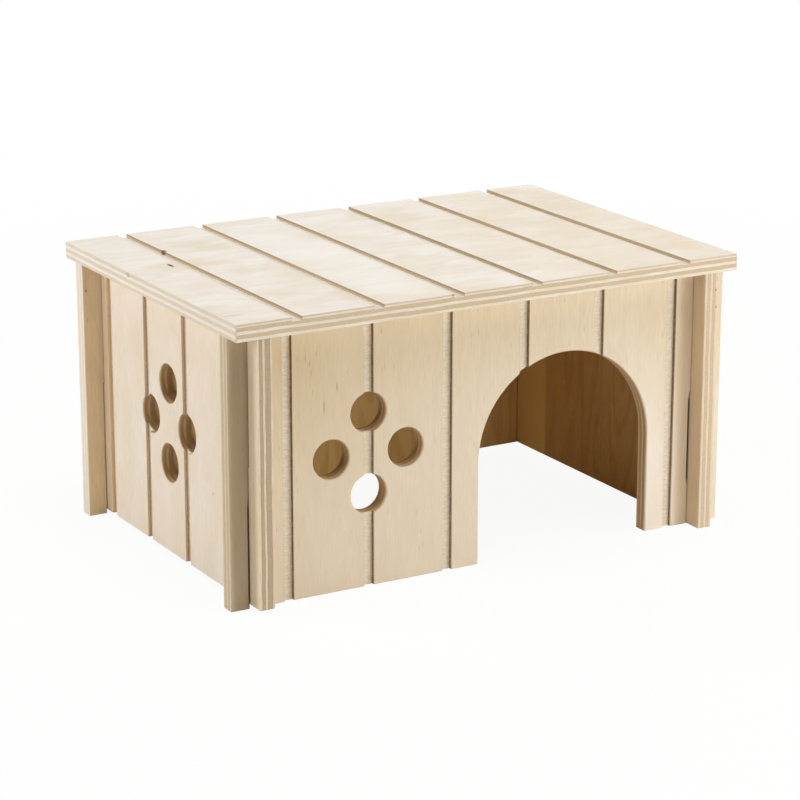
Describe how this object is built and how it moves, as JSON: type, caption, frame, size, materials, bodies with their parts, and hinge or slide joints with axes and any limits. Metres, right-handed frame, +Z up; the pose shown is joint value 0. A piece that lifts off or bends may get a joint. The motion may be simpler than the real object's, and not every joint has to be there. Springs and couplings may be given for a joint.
{
  "type": "wooden hamster house",
  "caption": "Flat-roofed plywood shelter for a small rodent, with an arched doorway, round air holes and a lift-off roof on cross-halved walls.",
  "frame": {"origin": "on the ground under the middle of the roof's outline", "axes": "+Z up, -Y out of the doorway, +X to the right as seen facing the doorway"},
  "size_m": [0.214, 0.147, 0.1085],
  "materials": {
    "wall_plywood": "sanded, bare",
    "roof_plywood": "sanded, bare",
    "batten_wood": "planed, bare"
  },
  "bodies": {
    "house": {"front_board": "wall_plywood", "back_board": "wall_plywood", "left_board": "wall_plywood", "right_board": "wall_plywood"},
    "roof": {"roof_board": "roof_plywood", "batten_left": "batten_wood", "batten_right": "batten_wood"}
  },
  "joints": [
    {"name": "roof_lift", "type": "slide", "parent": "house", "child": "roof", "axis": [0, 0, 1], "range_m": [0, 0.05]}
  ]
}
